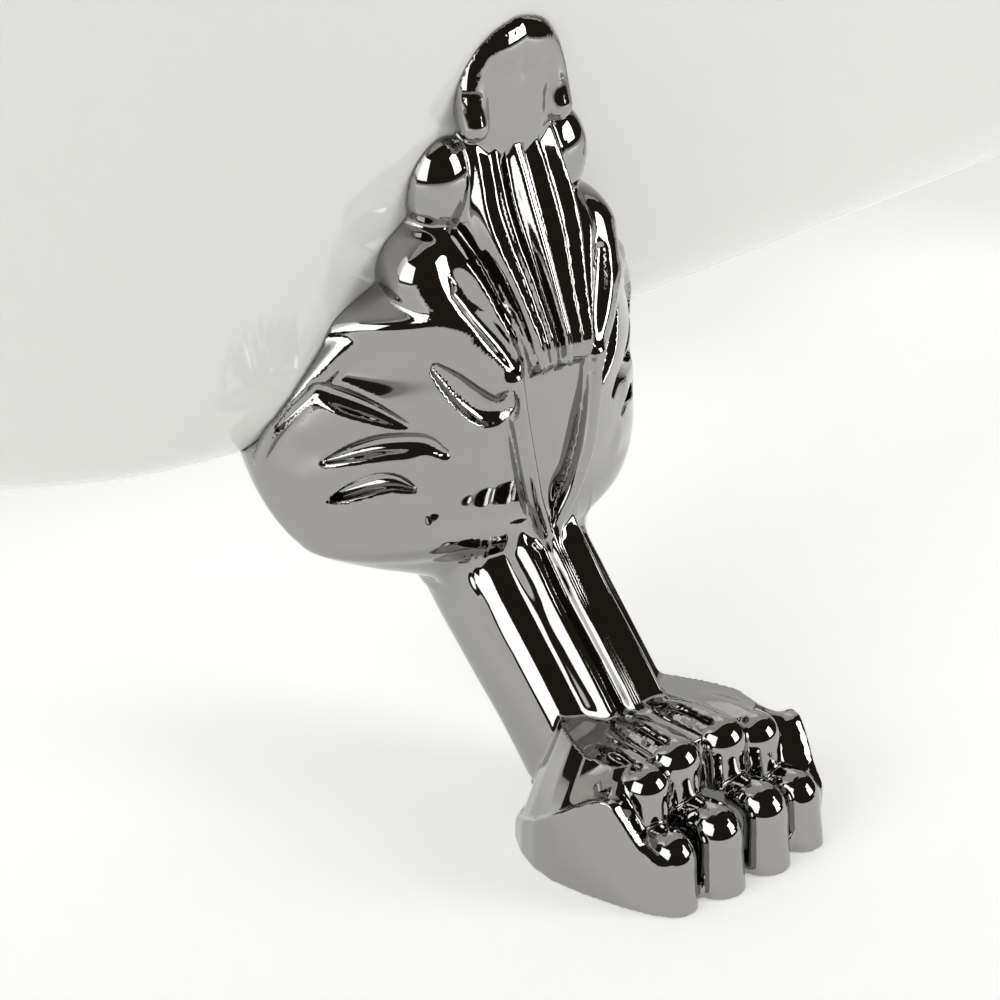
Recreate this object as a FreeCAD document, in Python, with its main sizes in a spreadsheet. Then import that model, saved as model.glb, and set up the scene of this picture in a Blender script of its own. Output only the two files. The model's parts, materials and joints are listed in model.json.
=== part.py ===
"""A free-standing double-ended bath on four cast lion-paw feet, in millimetres.

The bath has an inner basin with a rolled rim and an outer skirt, joined by a bead under the roll. Between them are a
stiffening board, spacer blocks, threaded plates, the waste and the overflow with its hose. Each foot is one casting:
a paw with four toes, a leg with tendons, and a crest of leaves that lies against the skirt.

X runs along the bath, Y across it and Z up. The origin is on the floor under the middle of the bath.
"""
import FreeCAD
import Part
import math
import os
import re

from FreeCAD import Placement, Rotation, Vector

SIZES = {
    # the whole bath
    "tub_length": 1700, "tub_width": 730, "rim_height": 600, "straight_length": 860,
    # rolled rim
    "roll_radius": 20, "acrylic_wall": 5, "flare_angle": 39, "lip_angle": 128,
    # outer skirt
    "bottom_height": 119, "skirt_wall": 4, "bottom_radius": 55, "bottom_inset": 209,
    "bottom_end_inset": 298, "side_angle": 13, "end_angle": 28, "skirt_top_gap": 15,
    "skirt_top_drop": 8,
    # inner basin
    "floor_rise": 49, "floor_radius": 80, "floor_inset": 260, "floor_end_inset": 335,
    "basin_side_angle": 11, "basin_end_angle": 26,
    # stiffening board, spacer blocks and threaded plates
    "board_thickness": 18, "board_length": 900, "board_inset": 230, "board_opening_radius": 62,
    "anchor_length": 90, "anchor_width": 60, "anchor_plate_thickness": 5,
    # feet
    "foot_spacing": 720, "foot_yaw": 4.4, "toe_inset": 3.5, "foot_clearance": 0.3,
    "crest_height": 274, "foot_depth": 178, "paw_width": 76, "paw_height": 48,
    "lug_thickness": 11, "lug_width": 70, "lug_reach": 254, "pocket_radius": 19, "pocket_depth": 24,
    "pad_radius": 26, "pad_wall": 6, "pad_thickness": 3, "pad_recess": 2.5, "pad_centre": 42,
    # bolts that hold the feet
    "bolt_radius": 4, "bolt_clearance": 0.5, "bolt_head_radius": 7.5, "bolt_head_height": 5.3,
    "washer_radius": 8.5, "washer_thickness": 1.6, "bolt_spacing": 36, "bolt_inset": 236,
    # waste
    "waste_hole_radius": 26, "waste_flange_radius": 36, "waste_flange_thickness": 3,
    "waste_neck_radius": 25, "waste_neck_length": 32, "waste_bore_radius": 20,
    "waste_body_radius": 30, "waste_body_height": 54, "waste_rim_radius": 35,
    "waste_chamber_radius": 24, "gasket_thickness": 3, "thread_clearance": 0.1,
    "spider_radius": 7, "spider_arm": 3, "spider_thickness": 5, "spider_drop": 14,
    "tail_radius": 19.05, "tail_step": 0.3, "tail_wall": 1.5, "tail_length": 66, "tail_insert": 8,
    "slip_nut_radius": 27, "slip_nut_height": 15, "slip_nut_overlap": 7, "slip_washer": 3,
    "skirt_hole_radius": 44,
    # pop-up stopper
    "stopper_radius": 30, "stopper_thickness": 3, "stopper_crown": 4, "stem_radius": 3,
    "running_clearance": 0.2, "seal_radius": 27, "seal_thickness": 2.5, "stopper_lift": 8,
    "retainer_radius": 5.5, "retainer_thickness": 1.5,
    # overflow
    "overflow_drop": 155, "overflow_cover_radius": 33, "overflow_cover_depth": 9,
    "overflow_cover_wall": 2.5, "overflow_slot": 5, "overflow_hole_radius": 22,
    "overflow_body_radius": 28, "overflow_clearance": 6, "overflow_wall": 3,
    "overflow_screw_radius": 2.5, "overflow_screw_head": 5,
    # overflow hose and its clips
    "hose_radius": 10, "hose_wall": 2, "hose_gap": 1, "hose_bend_radius": 60, "hose_pass_rise": 106,
    "spigot_length": 22, "spigot_bore": 5.5, "clip_width": 9, "clip_thickness": 1.2,
}

doc = FreeCAD.newDocument("Bath")
sheet = doc.addObject("Spreadsheet::Sheet", "Sizes")
for row, (alias, value) in enumerate(SIZES.items(), start=1):
    sheet.set(f"A{row}", alias)
    sheet.set(f"B{row}", str(value))
    sheet.setAlias(f"B{row}", alias)
doc.recompute()


def size(alias):
    """A driving dimension, read from the sheet."""
    return float(getattr(sheet, alias))


# ---------------------------------------------------------------- helpers

def bind(thing, prop, text):
    """Binds a property to an expression in which each alias stands for its cell."""
    full = re.sub(r"[a-z][a-z_]*", lambda m: f"Sizes.{m[0]}" if m[0] in SIZES else m[0], text)
    thing.setExpression(prop, full)


def place(thing, x="0", y="0", z="0"):
    """Binds where a primitive stands."""
    for axis, text in zip("xyz", (x, y, z)):
        bind(thing, f"Placement.Base.{axis}", text)


def cylinder(name, radius, height, x="0", y="0", z="0"):
    """An upright cylinder that stands on (x, y, z)."""
    made = doc.addObject("Part::Cylinder", name)
    bind(made, "Radius", radius)
    bind(made, "Height", height)
    place(made, x, y, z)
    return made


def block(name, length, width, height, x="0", y="0", z="0"):
    """A box centred on x and y that stands on z."""
    made = doc.addObject("Part::Box", name)
    bind(made, "Length", length)
    bind(made, "Width", width)
    bind(made, "Height", height)
    place(made, f"{x} - ({length}) / 2", f"{y} - ({width}) / 2", z)
    return made


def cut(name, base, *tools):
    """base less each tool."""
    made = base
    for number, tool in enumerate(tools, start=1):
        made_next = doc.addObject("Part::Cut", name if number == len(tools) else f"{name}_step{number}")
        made_next.Base = made
        made_next.Tool = tool
        made = made_next
    return made


def fuse(name, *shapes):
    """The union of some document objects."""
    made = doc.addObject("Part::MultiFuse", name)
    made.Shapes = list(shapes)
    made.Refine = True
    return made


def feature(name, shape):
    """A document object that holds a shape made in code."""
    made = doc.addObject("Part::Feature", name)
    made.Shape = shape
    return made


def through(values, at):
    """Poles of a smooth cubic curve that passes through each value at its parameter."""
    steps = [two - one for one, two in zip(at, at[1:])]
    slopes = [(two - one) * (1 / step) for one, two, step in zip(values, values[1:], steps)]
    turns = []
    for before, after, one, two in zip(steps, steps[1:], slopes, slopes[1:]):
        turns.append((one * after + two * before) * (1 / (before + after)))
    first = slopes[0] * 2 - turns[0] if turns else slopes[0]
    last = slopes[-1] * 2 - turns[-1] if turns else slopes[0]
    turns = [first] + turns + [last]
    poles = [values[0]]
    for number, step in enumerate(steps):
        poles.append(values[number] + turns[number] * (step / 3))
        poles.append(values[number + 1] - turns[number + 1] * (step / 3))
    return poles + [values[-1]]


def travelled(moves):
    """Parameters along a path made of some moves."""
    at = [0.0]
    for move in moves:
        at.append(at[-1] + move)
    return at


def half_ring(side, corner):
    """Half of an ellipse round the origin as poles with weights. A heavier corner makes it squarer."""
    return [(0, -side, 1), (side, -side, corner), (side, 0, 1), (side, side, corner), (0, side, 1)]


ROUND = math.sqrt(0.5)
SQUARISH = 1.6


def smooth_face(poles, weights, across_knots, across_repeats, across_degree, at):
    """A face with some poles that runs smoothly through its second direction."""
    surface = Part.BSplineSurface()
    surface.buildFromPolesMultsKnots(poles, across_repeats, [4] + [2] * (len(at) - 2) + [4],
                                     across_knots, at, False, False, across_degree, 3, weights)
    return surface.toShape()


def swept(ring, centres, across, along):
    """A face through half ellipses, each with a centre and two half axes."""
    at = travelled(math.hypot((two - one).Length, (b - a).Length)
                   for one, two, a, b in zip(centres, centres[1:], across, across[1:]))
    rows = list(zip(through(centres, at), through(across, at), through(along, at)))
    poles = [[centre + a * v + b * u for centre, a, b in rows] for u, v, weight in ring]
    weights = [[weight] * len(rows) for u, v, weight in ring]
    return smooth_face(poles, weights, [0, 1, 2], [3, 2, 3], 2, at)


def half_edge(ring, centre, a, b):
    """The edge along half an ellipse."""
    curve = Part.BSplineCurve()
    curve.buildFromPolesMultsKnots([centre + a * v + b * u for u, v, weight in ring], [3, 2, 3],
                                   [0, 1, 2], False, 2, [weight for u, v, weight in ring])
    return curve.toShape()


def closed(faces):
    """The solid inside some faces that meet at their edges."""
    shell = Part.Shell(faces)
    shell.sewShape()
    made = Part.Solid(shell)
    if made.Volume < 0:
        made.reverse()
    return made


def limb(centres, across, along, corner=ROUND):
    """A smooth solid through ellipses, each with a centre and two half axes."""
    faces = []
    for side in (1, -1):
        faces.append(swept(half_ring(side, corner), centres, across, along))
    for end in (0, -1):
        edges = [half_edge(half_ring(side, corner), centres[end], across[end], along[end]) for side in (1, -1)]
        faces.append(Part.Face(Part.Wire(Part.sortEdges(edges)[0])))
    return closed(faces)


# ---------------------------------------------------------------- the bath's walls

HALF_STRAIGHT = size("straight_length") / 2
END_REACH = size("tub_length") / 2 - HALF_STRAIGHT
ROLL = (size("tub_width") / 2 - size("roll_radius"), END_REACH - size("roll_radius"),
        size("rim_height") - size("roll_radius"))
FLARE = math.radians(size("flare_angle"))
LIP = math.radians(size("lip_angle"))


def band(rows):
    """The faces round the bath through level ovals, each given as (half width, end reach, height)."""
    faces = []
    for side in (1, -1):
        centres = [Vector(side * HALF_STRAIGHT, 0, z) for b, p, z in rows]
        across = [Vector(0, b, 0) for b, p, z in rows]
        along = [Vector(p, 0, 0) for b, p, z in rows]
        faces.append(swept(half_ring(side, ROUND), centres, [a * side for a in across], along))
        middles = [Vector(0, side * b, z) for b, p, z in rows]
        at = travelled((two - one).Length for one, two in zip(middles, middles[1:]))
        line = through(middles, at)
        reach = Vector(HALF_STRAIGHT, 0, 0)
        poles = [[pole - reach for pole in line], [pole + reach for pole in line]]
        faces.append(smooth_face(poles, [[1.0] * len(line)] * 2, [0, 1], [2, 2], 1, at))
    return faces


def level(row):
    """The flat face inside one level oval."""
    b, p, z = row
    edges = []
    for side in (1, -1):
        edges.append(half_edge(half_ring(side, ROUND), Vector(side * HALF_STRAIGHT, 0, z),
                               Vector(0, b * side, 0), Vector(p, 0, 0)))
        edges.append(Part.LineSegment(Vector(-HALF_STRAIGHT, side * b, z),
                                      Vector(HALF_STRAIGHT, side * b, z)).toShape())
    return Part.Face(Part.Wire(Part.sortEdges(edges)[0]))


class Wall:
    """One face of a wall: a flat bottom, a rounded corner and a side that flares to the top.

    Flats, angles and tops come in pairs: across the bath, then at its ends.
    """

    def __init__(self, bottom, radius, flats, angles, top, tops, slopes=None):
        self.bottom, self.radius, self.flats, self.top = bottom, radius, flats, top
        self.angles = [math.radians(angle) for angle in angles]
        self.tops, self.slopes = tops, slopes

    def reach(self, which, z, grow=0.0):
        """How far out the face is at z, when it is moved out by grow."""
        flat, angle, radius = self.flats[which], self.angles[which], self.radius + grow
        if z <= self.bottom + self.radius - radius * math.sin(angle):
            up = self.bottom + self.radius - z
            return flat + math.sqrt(max(radius ** 2 - up ** 2, 0))
        corner_z = self.bottom + self.radius * (1 - math.sin(angle))
        start, slope = flat + self.radius * math.cos(angle), math.tan(angle)
        run, rise = self.top - corner_z, max(z - corner_z, 0)
        extra = self.tops[which] - start - slope * run
        power = 2
        if self.slopes:
            power = (self.slopes[which] - slope) * run / extra
        steep = slope + extra * power * rise ** (power - 1) / run ** power
        return start + slope * (z - corner_z) + extra * (rise / run) ** power + grow * math.hypot(1, steep)

    def rows(self, grow=0.0, top=None):
        """Level ovals from the bottom to the top of the face."""
        top = top or self.top
        corner = [0, 10, 20, 30, 40, 50, 60, 69]
        heights = [self.bottom + self.radius - (self.radius + grow) * math.cos(math.radians(a)) for a in corner]
        first = self.bottom + self.radius * 0.82
        heights += [first + (top - first) * step / 9 for step in range(10)]
        return [(self.reach(0, z, grow), self.reach(1, z, grow), z) for z in heights]

    def solid(self, grow=0.0):
        """All that is inside the face."""
        rows = self.rows(grow)
        return closed(band(rows) + [level(rows[0]), level(rows[-1])])


def on_roll(radius, angle):
    """A level oval on the rolled rim; the angle is up from the outward direction."""
    return (ROLL[0] + radius * math.cos(angle), ROLL[1] + radius * math.cos(angle),
            ROLL[2] + radius * math.sin(angle))


skirt_top = ROLL[2] - size("skirt_top_drop")
skirt = Wall(size("bottom_height"), size("bottom_radius"),
             (size("tub_width") / 2 - size("bottom_inset"), END_REACH - size("bottom_end_inset")),
             (size("side_angle"), size("end_angle")), skirt_top,
             (ROLL[0] - size("skirt_top_gap"), ROLL[1] - size("skirt_top_gap")))
flare_start = on_roll(size("roll_radius"), math.pi - FLARE)
basin = Wall(size("bottom_height") + size("floor_rise"), size("floor_radius"),
             (size("tub_width") / 2 - size("floor_inset"), END_REACH - size("floor_end_inset")),
             (size("basin_side_angle"), size("basin_end_angle")), flare_start[2],
             flare_start[:2], (math.tan(FLARE), math.tan(FLARE)))


def roll_rows(radius):
    """Level ovals over the roll, from the basin's side to the lip."""
    first, last = math.pi - FLARE, -LIP
    return [on_roll(radius, first + (last - first) * step / 16) for step in range(17)]


outer_radius = size("roll_radius")
inner_radius = outer_radius - size("acrylic_wall")
basin_face = basin.rows()[:-1] + roll_rows(outer_radius)
under_face = basin.rows(size("acrylic_wall"), on_roll(inner_radius, math.pi - FLARE)[2])[:-1]
under_face += roll_rows(inner_radius)
basin_blank = feature("basin_blank", closed(
    band(basin_face) + band([basin_face[-1], under_face[-1]]) + band(under_face)
    + [level(basin_face[0]), level(under_face[0])]))

skirt_face, skirt_back = skirt.rows(), skirt.rows(-size("skirt_wall"))
skirt_blank = feature("skirt_blank", closed(
    band(skirt_face) + band([skirt_face[-1], skirt_back[-1]]) + band(skirt_back)
    + [level(skirt_face[0]), level(skirt_back[0])]))

lip_out, lip_in = basin_face[-1], under_face[-1]
seam_low = (skirt.reach(0, lip_out[2]), skirt.reach(1, lip_out[2]), lip_out[2])
seam_high = (skirt.reach(0, lip_in[2]), skirt.reach(1, lip_in[2]), lip_in[2])
corners = [lip_out, lip_in, seam_high, seam_low]
rim_bead = feature("rim_bead", closed(
    sum((band([one, two]) for one, two in zip(corners, corners[1:] + corners[:1])), [])))


# ---------------------------------------------------------------- more helpers

def prism(name, sides, radius, height, x="0", y="0", z="0"):
    """An upright prism that stands on (x, y, z)."""
    made = doc.addObject("Part::Prism", name)
    made.Polygon = sides
    bind(made, "Circumradius", radius)
    bind(made, "Height", height)
    place(made, x, y, z)
    return made


def ring(name, outer, inner, height, x="0", y="0", z="0"):
    """An upright cylinder with a bore through it."""
    body = cylinder(f"{name}_blank", outer, height, x, y, z)
    bore = cylinder(f"{name}_bore", inner, height, x, y, z)
    return cut(name, body, bore)


def placed(name, source, placement):
    """A copy of an object's shape in another place."""
    doc.recompute()
    made = feature(name, source.Shape.copy())
    made.Placement = placement
    return made


def less(name, source, *tools):
    """An object's shape less other objects' shapes, for shapes that were made in code."""
    doc.recompute()
    shape = source.Shape
    for tool in tools:
        shape = shape.cut(tool.Shape)
    return feature(name, shape)


def kept(shape):
    """The largest solid of a shape."""
    return max(shape.Solids, key=lambda solid: solid.Volume)


# where the feet's bolts stand, from the middle of the bath
FOOT_X = "(foot_spacing / 2 + (foot_depth - bolt_inset) * sin(foot_yaw))"
TOE_REACH = "(tub_width / 2 - toe_inset)"
FOOT_Y = f"({TOE_REACH} - bolt_inset * cos(foot_yaw))"


def at_bolts(name, make):
    """The union of one shape for each bolt; make takes a name and where the bolt stands."""
    made = []
    for left in (-1, 1):
        for front in (-1, 1):
            for end in (-1, 1):
                x = f"{left} * ({FOOT_X} + {end} * bolt_spacing / 2 * cos(foot_yaw))"
                y = f"{front} * ({FOOT_Y} - {end} * bolt_spacing / 2 * sin(foot_yaw))"
                made.append(make(f"{name}_{len(made) + 1}", x, y))
    return fuse(name, *made)


def at_anchors(name, make):
    """The union of one shape for each foot's fixing."""
    made = []
    for left in (-1, 1):
        for front in (-1, 1):
            made.append(make(f"{name}_{len(made) + 1}", f"{left} * {FOOT_X}", f"{front} * {FOOT_Y}"))
    return fuse(name, *made)


# ---------------------------------------------------------------- board, blocks, plates and bolts

FLOOR = "(bottom_height + floor_rise)"
BOARD_BOTTOM = f"({FLOOR} - acrylic_wall - board_thickness)"
SKIRT_INSIDE = "(bottom_height + skirt_wall)"
PLATE_BOTTOM = f"({BOARD_BOTTOM} - anchor_plate_thickness)"
HOLE = "(bolt_radius + bolt_clearance)"

board_blank = block("board_blank", "board_length", "tub_width - 2 * board_inset", "board_thickness",
                    z=BOARD_BOTTOM)
board_opening = cylinder("board_opening", "board_opening_radius", "board_thickness", z=BOARD_BOTTOM)
base_board = cut("base_board", board_blank, board_opening)

anchor_holes = at_bolts("anchor_holes", lambda name, x, y: cylinder(
    name, HOLE, f"{PLATE_BOTTOM} - {SKIRT_INSIDE}", x, y, SKIRT_INSIDE))
anchor_blanks = at_anchors("anchor_blanks", lambda name, x, y: block(
    name, "anchor_length", "anchor_width", f"{PLATE_BOTTOM} - {SKIRT_INSIDE}", x, y, SKIRT_INSIDE))
anchor_blocks = cut("anchor_blocks", anchor_blanks, anchor_holes)

thread_holes = at_bolts("thread_holes", lambda name, x, y: cylinder(
    name, "bolt_radius + thread_clearance", "anchor_plate_thickness", x, y, PLATE_BOTTOM))
plate_blanks = at_anchors("plate_blanks", lambda name, x, y: block(
    name, "anchor_length", "anchor_width", "anchor_plate_thickness", x, y, PLATE_BOTTOM))
anchor_plates = cut("anchor_plates", plate_blanks, thread_holes)

LUG_BOTTOM = "(bottom_height - foot_clearance - lug_thickness)"
WASHER_BOTTOM = f"({LUG_BOTTOM} - washer_thickness)"
HEAD_BOTTOM = f"({WASHER_BOTTOM} - bolt_head_height)"
washer_blanks = at_bolts("washer_blanks", lambda name, x, y: cylinder(
    name, "washer_radius", "washer_thickness", x, y, WASHER_BOTTOM))
washer_holes = at_bolts("washer_holes", lambda name, x, y: cylinder(
    name, "bolt_radius + thread_clearance", "washer_thickness", x, y, WASHER_BOTTOM))
foot_washers = cut("foot_washers", washer_blanks, washer_holes)
bolt_heads = at_bolts("bolt_heads", lambda name, x, y: prism(
    name, 6, "bolt_head_radius", "bolt_head_height", x, y, HEAD_BOTTOM))
bolt_shanks = at_bolts("bolt_shanks", lambda name, x, y: cylinder(
    name, "bolt_radius", f"{BOARD_BOTTOM} - {WASHER_BOTTOM} - thread_clearance", x, y, WASHER_BOTTOM))
foot_bolts = fuse("foot_bolts", bolt_heads, bolt_shanks)

skirt_bolt_holes = at_bolts("skirt_bolt_holes", lambda name, x, y: cylinder(
    name, HOLE, "skirt_wall", x, y, "bottom_height"))
skirt_waste_hole = cylinder("skirt_waste_hole", "skirt_hole_radius", "skirt_wall", z="bottom_height")
outer_shell = cut("outer_shell", skirt_blank, skirt_bolt_holes, skirt_waste_hole)

# ---------------------------------------------------------------- waste

FLANGE_TOP = f"({FLOOR} + waste_flange_thickness)"
NECK_BOTTOM = f"({FLANGE_TOP} - waste_neck_length)"
SPIDER_BOTTOM = f"({FLANGE_TOP} - spider_drop - spider_thickness)"
flange_disc = cylinder("flange_disc", "waste_flange_radius", "waste_flange_thickness", z=FLOOR)
flange_neck = cylinder("flange_neck", "waste_neck_radius", "waste_neck_length", z=NECK_BOTTOM)
flange_bore = cylinder("flange_bore", "waste_bore_radius", "waste_neck_length", z=NECK_BOTTOM)
flange_sleeve = cut("flange_sleeve", fuse("flange_blank", flange_disc, flange_neck), flange_bore)
spider_hub = cylinder("spider_hub", "spider_radius", "spider_thickness", z=SPIDER_BOTTOM)
spider_arms = []
for number in range(3):
    arm = doc.addObject("Part::Box", f"spider_arm_{number + 1}")
    bind(arm, "Length", "waste_bore_radius + 1")
    bind(arm, "Width", "spider_arm")
    bind(arm, "Height", "spider_thickness")
    arm.Placement = Placement(Vector(0, 0, 0), Rotation(Vector(0, 0, 1), 120 * number + 90))
    place(arm, f"spider_arm / 2 * sin({120 * number + 90})", f"-spider_arm / 2 * cos({120 * number + 90})",
          SPIDER_BOTTOM)
    spider_arms.append(arm)
stem_bore = cylinder("stem_bore", "stem_radius + running_clearance", "spider_thickness", z=SPIDER_BOTTOM)
drain_flange = cut("drain_flange", fuse("flange_with_spider", flange_sleeve, spider_hub, *spider_arms),
                   stem_bore)

BODY_TOP = f"({FLOOR} - acrylic_wall - gasket_thickness)"
BODY_RIM = f"({BODY_TOP} - 6)"
drain_gasket = ring("drain_gasket", "waste_rim_radius - 1", "waste_neck_radius + thread_clearance",
                    "gasket_thickness", z=BODY_TOP)

BODY_FOOT = f"({BODY_TOP} - waste_body_height)"
NUT_TOP = f"({BODY_FOOT} + slip_nut_overlap)"
body_rim = cylinder("body_rim", "waste_rim_radius", "6", z=BODY_RIM)
body_barrel = cylinder("body_barrel", "waste_body_radius", f"{BODY_TOP} - {NUT_TOP} - 1", z=f"{NUT_TOP} + 1")
body_neck = cylinder("body_neck", "waste_chamber_radius", "slip_nut_overlap + 2", z=BODY_FOOT)
thread_bore = cylinder("thread_bore", "waste_neck_radius + thread_clearance",
                       f"{BODY_TOP} - {NECK_BOTTOM}", z=NECK_BOTTOM)
chamber = cylinder("chamber", "waste_chamber_radius", f"{NECK_BOTTOM} - {BODY_FOOT} - tail_insert - 2",
                   z=f"{BODY_FOOT} + tail_insert + 2")
TAIL_SEAT = "(tail_radius - tail_step)"
tail_bore = cylinder("tail_bore", f"{TAIL_SEAT} + thread_clearance", "tail_insert + 2", z=BODY_FOOT)


def along_y(made):
    """Turns an upright primitive to point along Y."""
    made.Placement = Placement(Vector(0, 0, 0), Rotation(Vector(1, 0, 0), -90))
    return made


SPIGOT_END = "(waste_body_radius + spigot_length)"
HOSE_HEIGHT = "(bottom_height + skirt_wall + hose_gap + hose_radius)"
inlet = along_y(cylinder("inlet", "hose_radius - hose_wall - thread_clearance",
                         f"{SPIGOT_END} - waste_chamber_radius", y="waste_chamber_radius", z=HOSE_HEIGHT))
inlet_bore = along_y(cylinder("inlet_bore", "spigot_bore", SPIGOT_END, z=HOSE_HEIGHT))
drain_body = cut("drain_body", fuse("body_blank", body_rim, body_barrel, body_neck, inlet),
                 thread_bore, chamber, tail_bore, inlet_bore)

NUT_BOTTOM = f"({NUT_TOP} - slip_nut_height)"
TAIL_FOOT = f"({BODY_FOOT} + tail_insert - tail_length)"
tail_seat = cylinder("tail_seat", TAIL_SEAT, "tail_length", z=TAIL_FOOT)
tail_outlet = cylinder("tail_outlet", "tail_radius", f"{NUT_BOTTOM} - 1 - {TAIL_FOOT}", z=TAIL_FOOT)
tail_way = cylinder("tail_way", "tail_radius - tail_wall", "tail_length", z=TAIL_FOOT)
drain_tailpiece = cut("drain_tailpiece", fuse("tail_blank", tail_seat, tail_outlet), tail_way)
drain_seal = ring("drain_seal", "waste_chamber_radius", TAIL_SEAT, "slip_washer",
                  z=f"{BODY_FOOT} - slip_washer")
nut_blank = prism("nut_blank", 12, "slip_nut_radius", "slip_nut_height", z=NUT_BOTTOM)
nut_bore = cylinder("nut_bore", f"{TAIL_SEAT} + thread_clearance", "slip_nut_height", z=NUT_BOTTOM)
nut_thread = cylinder("nut_thread", "waste_chamber_radius + thread_clearance",
                      "slip_nut_overlap + slip_washer", z=f"{BODY_FOOT} - slip_washer")
drain_nut = cut("drain_nut", nut_blank, nut_bore, nut_thread)

# ---------------------------------------------------------------- stopper

SEAL_TOP = f"({FLANGE_TOP} + seal_thickness)"
stopper_seal = ring("stopper_seal", "seal_radius", "stem_radius", "seal_thickness", z=FLANGE_TOP)
cap_disc = cylinder("cap_disc", "stopper_radius", "stopper_thickness", z=SEAL_TOP)
cap_crown = doc.addObject("Part::Cone", "cap_crown")
bind(cap_crown, "Radius1", "stopper_radius - 1")
bind(cap_crown, "Radius2", "stopper_radius * 0.4")
bind(cap_crown, "Height", "stopper_crown")
place(cap_crown, z=f"{SEAL_TOP} + stopper_thickness")
cap_socket = cylinder("cap_socket", "stem_radius", "2", z=SEAL_TOP)
stopper_cap = cut("stopper_cap", fuse("cap_blank", cap_disc, cap_crown), cap_socket)
RETAINER_TOP = f"({SPIDER_BOTTOM} - stopper_lift)"
STEM_BOTTOM = f"({RETAINER_TOP} - retainer_thickness - 2)"
stopper_stem = cylinder("stopper_stem", "stem_radius", f"{SEAL_TOP} + 2 - {STEM_BOTTOM}", z=STEM_BOTTOM)
stopper_retainer = ring("stopper_retainer", "retainer_radius", "stem_radius", "retainer_thickness",
                        z=f"{RETAINER_TOP} - retainer_thickness")

# ---------------------------------------------------------------- overflow

over_z = size("rim_height") - size("overflow_drop")
over_y = basin.reach(0, over_z)
over_slope = (basin.reach(0, over_z + 1) - basin.reach(0, over_z - 1)) / 2
over_angle = math.degrees(math.atan(over_slope))
over = Placement(Vector(0, over_y, over_z), Rotation(Vector(1, 0, 0), -90 - over_angle))
outward = Vector(0, math.cos(math.radians(over_angle)), -math.sin(math.radians(over_angle)))



def room_behind(rise):
    """How far the skirt's inner face lies behind the basin's inner face, along the overflow's axis."""
    tilt = math.radians(over_angle)
    start_y, start_z = over_y + rise * math.sin(tilt), over_z + rise * math.cos(tilt)
    distance = 0
    for _ in range(30):
        height = start_z - distance * math.sin(tilt)
        distance = (skirt.reach(0, height, -size("skirt_wall")) - start_y) / math.cos(tilt)
    return distance


cup_start = size("acrylic_wall") + size("gasket_thickness")
cup_depth = min(room_behind(size("overflow_body_radius")), room_behind(-size("overflow_body_radius")))
cup_depth -= cup_start + size("overflow_clearance")
OVER_BACK = "(acrylic_wall + gasket_thickness)"
over_hole = placed("over_hole", cylinder("over_hole_blank", "overflow_hole_radius", "60", z="-30"), over)
gasket_blank = placed("gasket_blank", ring(
    "gasket_ring", "overflow_body_radius", "overflow_hole_radius", "gasket_thickness + 3",
    z=f"{OVER_BACK} - gasket_thickness - 3"), over)
overflow_gasket = less("overflow_gasket", gasket_blank, basin_blank)

waste_hole = cylinder("waste_hole", "waste_hole_radius", "acrylic_wall", z=f"{FLOOR} - acrylic_wall")
inner_basin = less("inner_basin", basin_blank, waste_hole, over_hole)

cover_blank = cylinder("cover_blank", "overflow_cover_radius", "overflow_cover_depth + 3",
                       z="-overflow_cover_depth")
cover_hollow = cylinder("cover_hollow", "overflow_cover_radius - overflow_cover_wall",
                        "overflow_cover_depth + 3", z="overflow_cover_wall - overflow_cover_depth")
cover_slots = []
for number in (-2, -1, 1, 2):
    slot = block(f"cover_slot_{number + 3}", "overflow_slot",
                 f"(overflow_cover_radius - {abs(number)} * 5) * 1.3", "overflow_cover_depth",
                 x=f"{number} * overflow_slot * 2", z="-overflow_cover_depth - 1")
    cover_slots.append(slot)
cover_boss = cylinder("cover_boss", "overflow_screw_head + 2", "overflow_cover_depth - overflow_cover_wall",
                      z="overflow_cover_wall - overflow_cover_depth")
screw_way = cylinder("screw_way", "overflow_screw_radius + running_clearance", "overflow_cover_depth + 1",
                     z="-overflow_cover_depth")
cover_front = cut("cover_front", fuse("cover_all", cut("cover_shell", cover_blank, cover_hollow,
                                                       *cover_slots), cover_boss), screw_way)
overflow_cover = less("overflow_cover", placed("cover_placed", cover_front, over), basin_blank)

screw_head = cylinder("screw_head", "overflow_screw_head", "2.5", z="-overflow_cover_depth - 2.5")
screw_shank = cylinder("screw_shank", "overflow_screw_radius", f"{OVER_BACK} + overflow_cover_depth + 5",
                       z="-overflow_cover_depth")
overflow_screw = placed("overflow_screw", fuse("screw_blank", screw_head, screw_shank), over)

cup_blank = cylinder("cup_blank", "overflow_body_radius", f"{cup_depth}", z=OVER_BACK)
cup_hollow = cylinder("cup_hollow", "overflow_body_radius - overflow_wall",
                      f"{cup_depth} - overflow_wall", z=OVER_BACK)
cup_bar = block("cup_bar", "overflow_body_radius * 2 - 2", "10", "6", z=OVER_BACK)
cup_thread = cylinder("cup_thread", "overflow_screw_radius + thread_clearance", "6", z=OVER_BACK)
cup_front = cut("cup_front", fuse("cup_all", cut("cup_shell", cup_blank, cup_hollow), cup_bar), cup_thread)
cup_placed = placed("cup_placed", cup_front, over)

# ---------------------------------------------------------------- hose

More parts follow.
